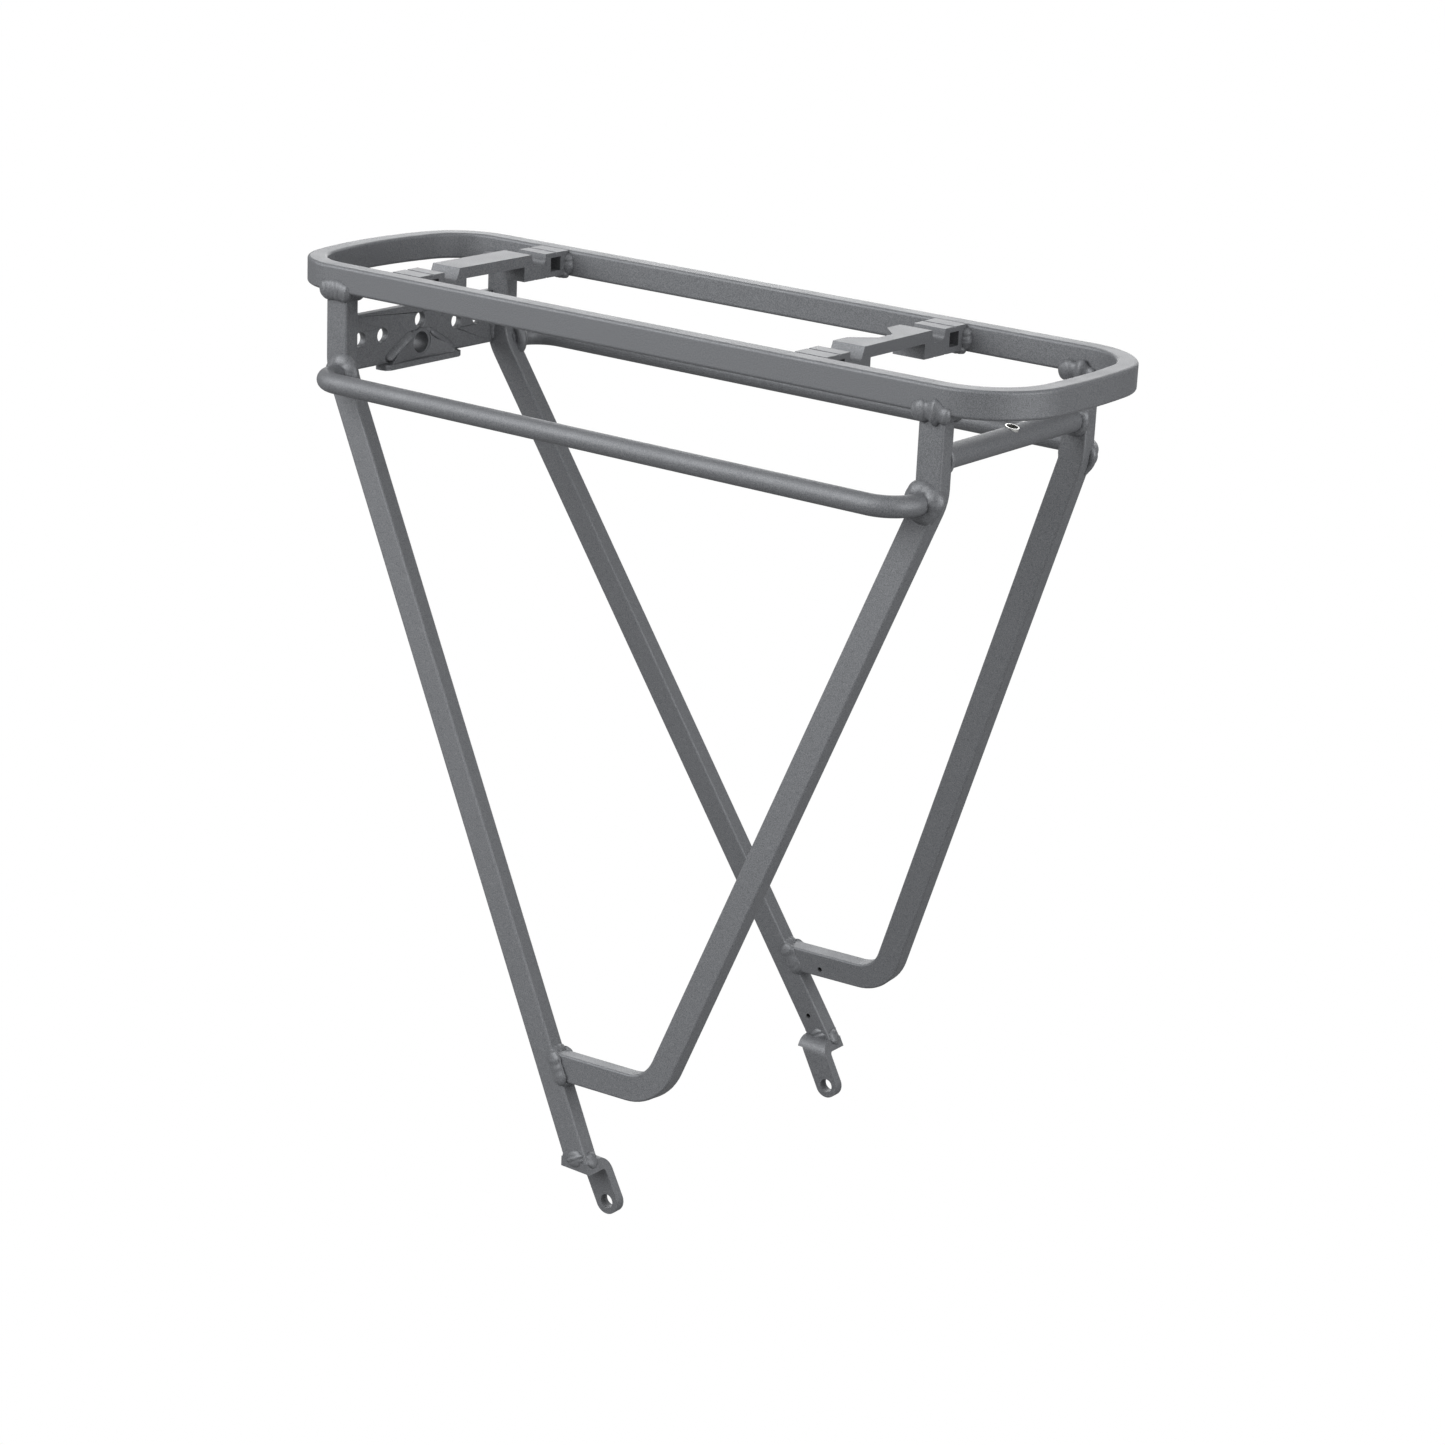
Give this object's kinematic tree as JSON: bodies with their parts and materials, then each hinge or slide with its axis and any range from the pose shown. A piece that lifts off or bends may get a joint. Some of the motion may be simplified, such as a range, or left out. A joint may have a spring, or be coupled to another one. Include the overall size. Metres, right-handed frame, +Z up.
{
  "type": "bicycle rear rack",
  "caption": "Welded tubular rear rack for a bicycle: oval deck loop with luggage adapters, side rails for panniers and splayed legs that meet in one eyelet per side.",
  "frame": {"origin": "centre of the bounding box seen from above, at the height of the lowest point of the feet", "axes": "+X towards the rear of the bicycle, +Y towards its right side, +Z up"},
  "size_m": [0.395, 0.1944, 0.3908],
  "materials": {
    "frame_paint": "satin metallic grey paint",
    "weld_paint": "satin metallic grey paint over rippled weld beads",
    "insert_zinc": "bright zinc plate"
  },
  "bodies": {
    "rack": {"deck_loop": "frame_paint", "front_adapter": "frame_paint", "rear_adapter": "frame_paint", "front_left_leg": "frame_paint", "front_right_leg": "frame_paint", "rear_left_leg": "frame_paint", "rear_right_leg": "frame_paint", "left_pannier_rail": "frame_paint", "right_pannier_rail": "frame_paint", "front_cross_plate": "frame_paint", "front_bracket": "frame_paint", "bracket_bush": "frame_paint", "rear_cross_tube": "frame_paint", "left_foot_tab": "frame_paint", "right_foot_tab": "frame_paint", "leg_top_welds": "weld_paint", "front_adapter_welds": "weld_paint", "rear_adapter_welds": "weld_paint", "pannier_rail_welds": "weld_paint", "stay_return_welds": "weld_paint", "cross_plate_welds": "weld_paint", "bracket_welds": "weld_paint", "cross_tube_welds": "weld_paint", "foot_welds": "weld_paint", "light_rivet_nut": "insert_zinc"}
  },
  "joints": []
}
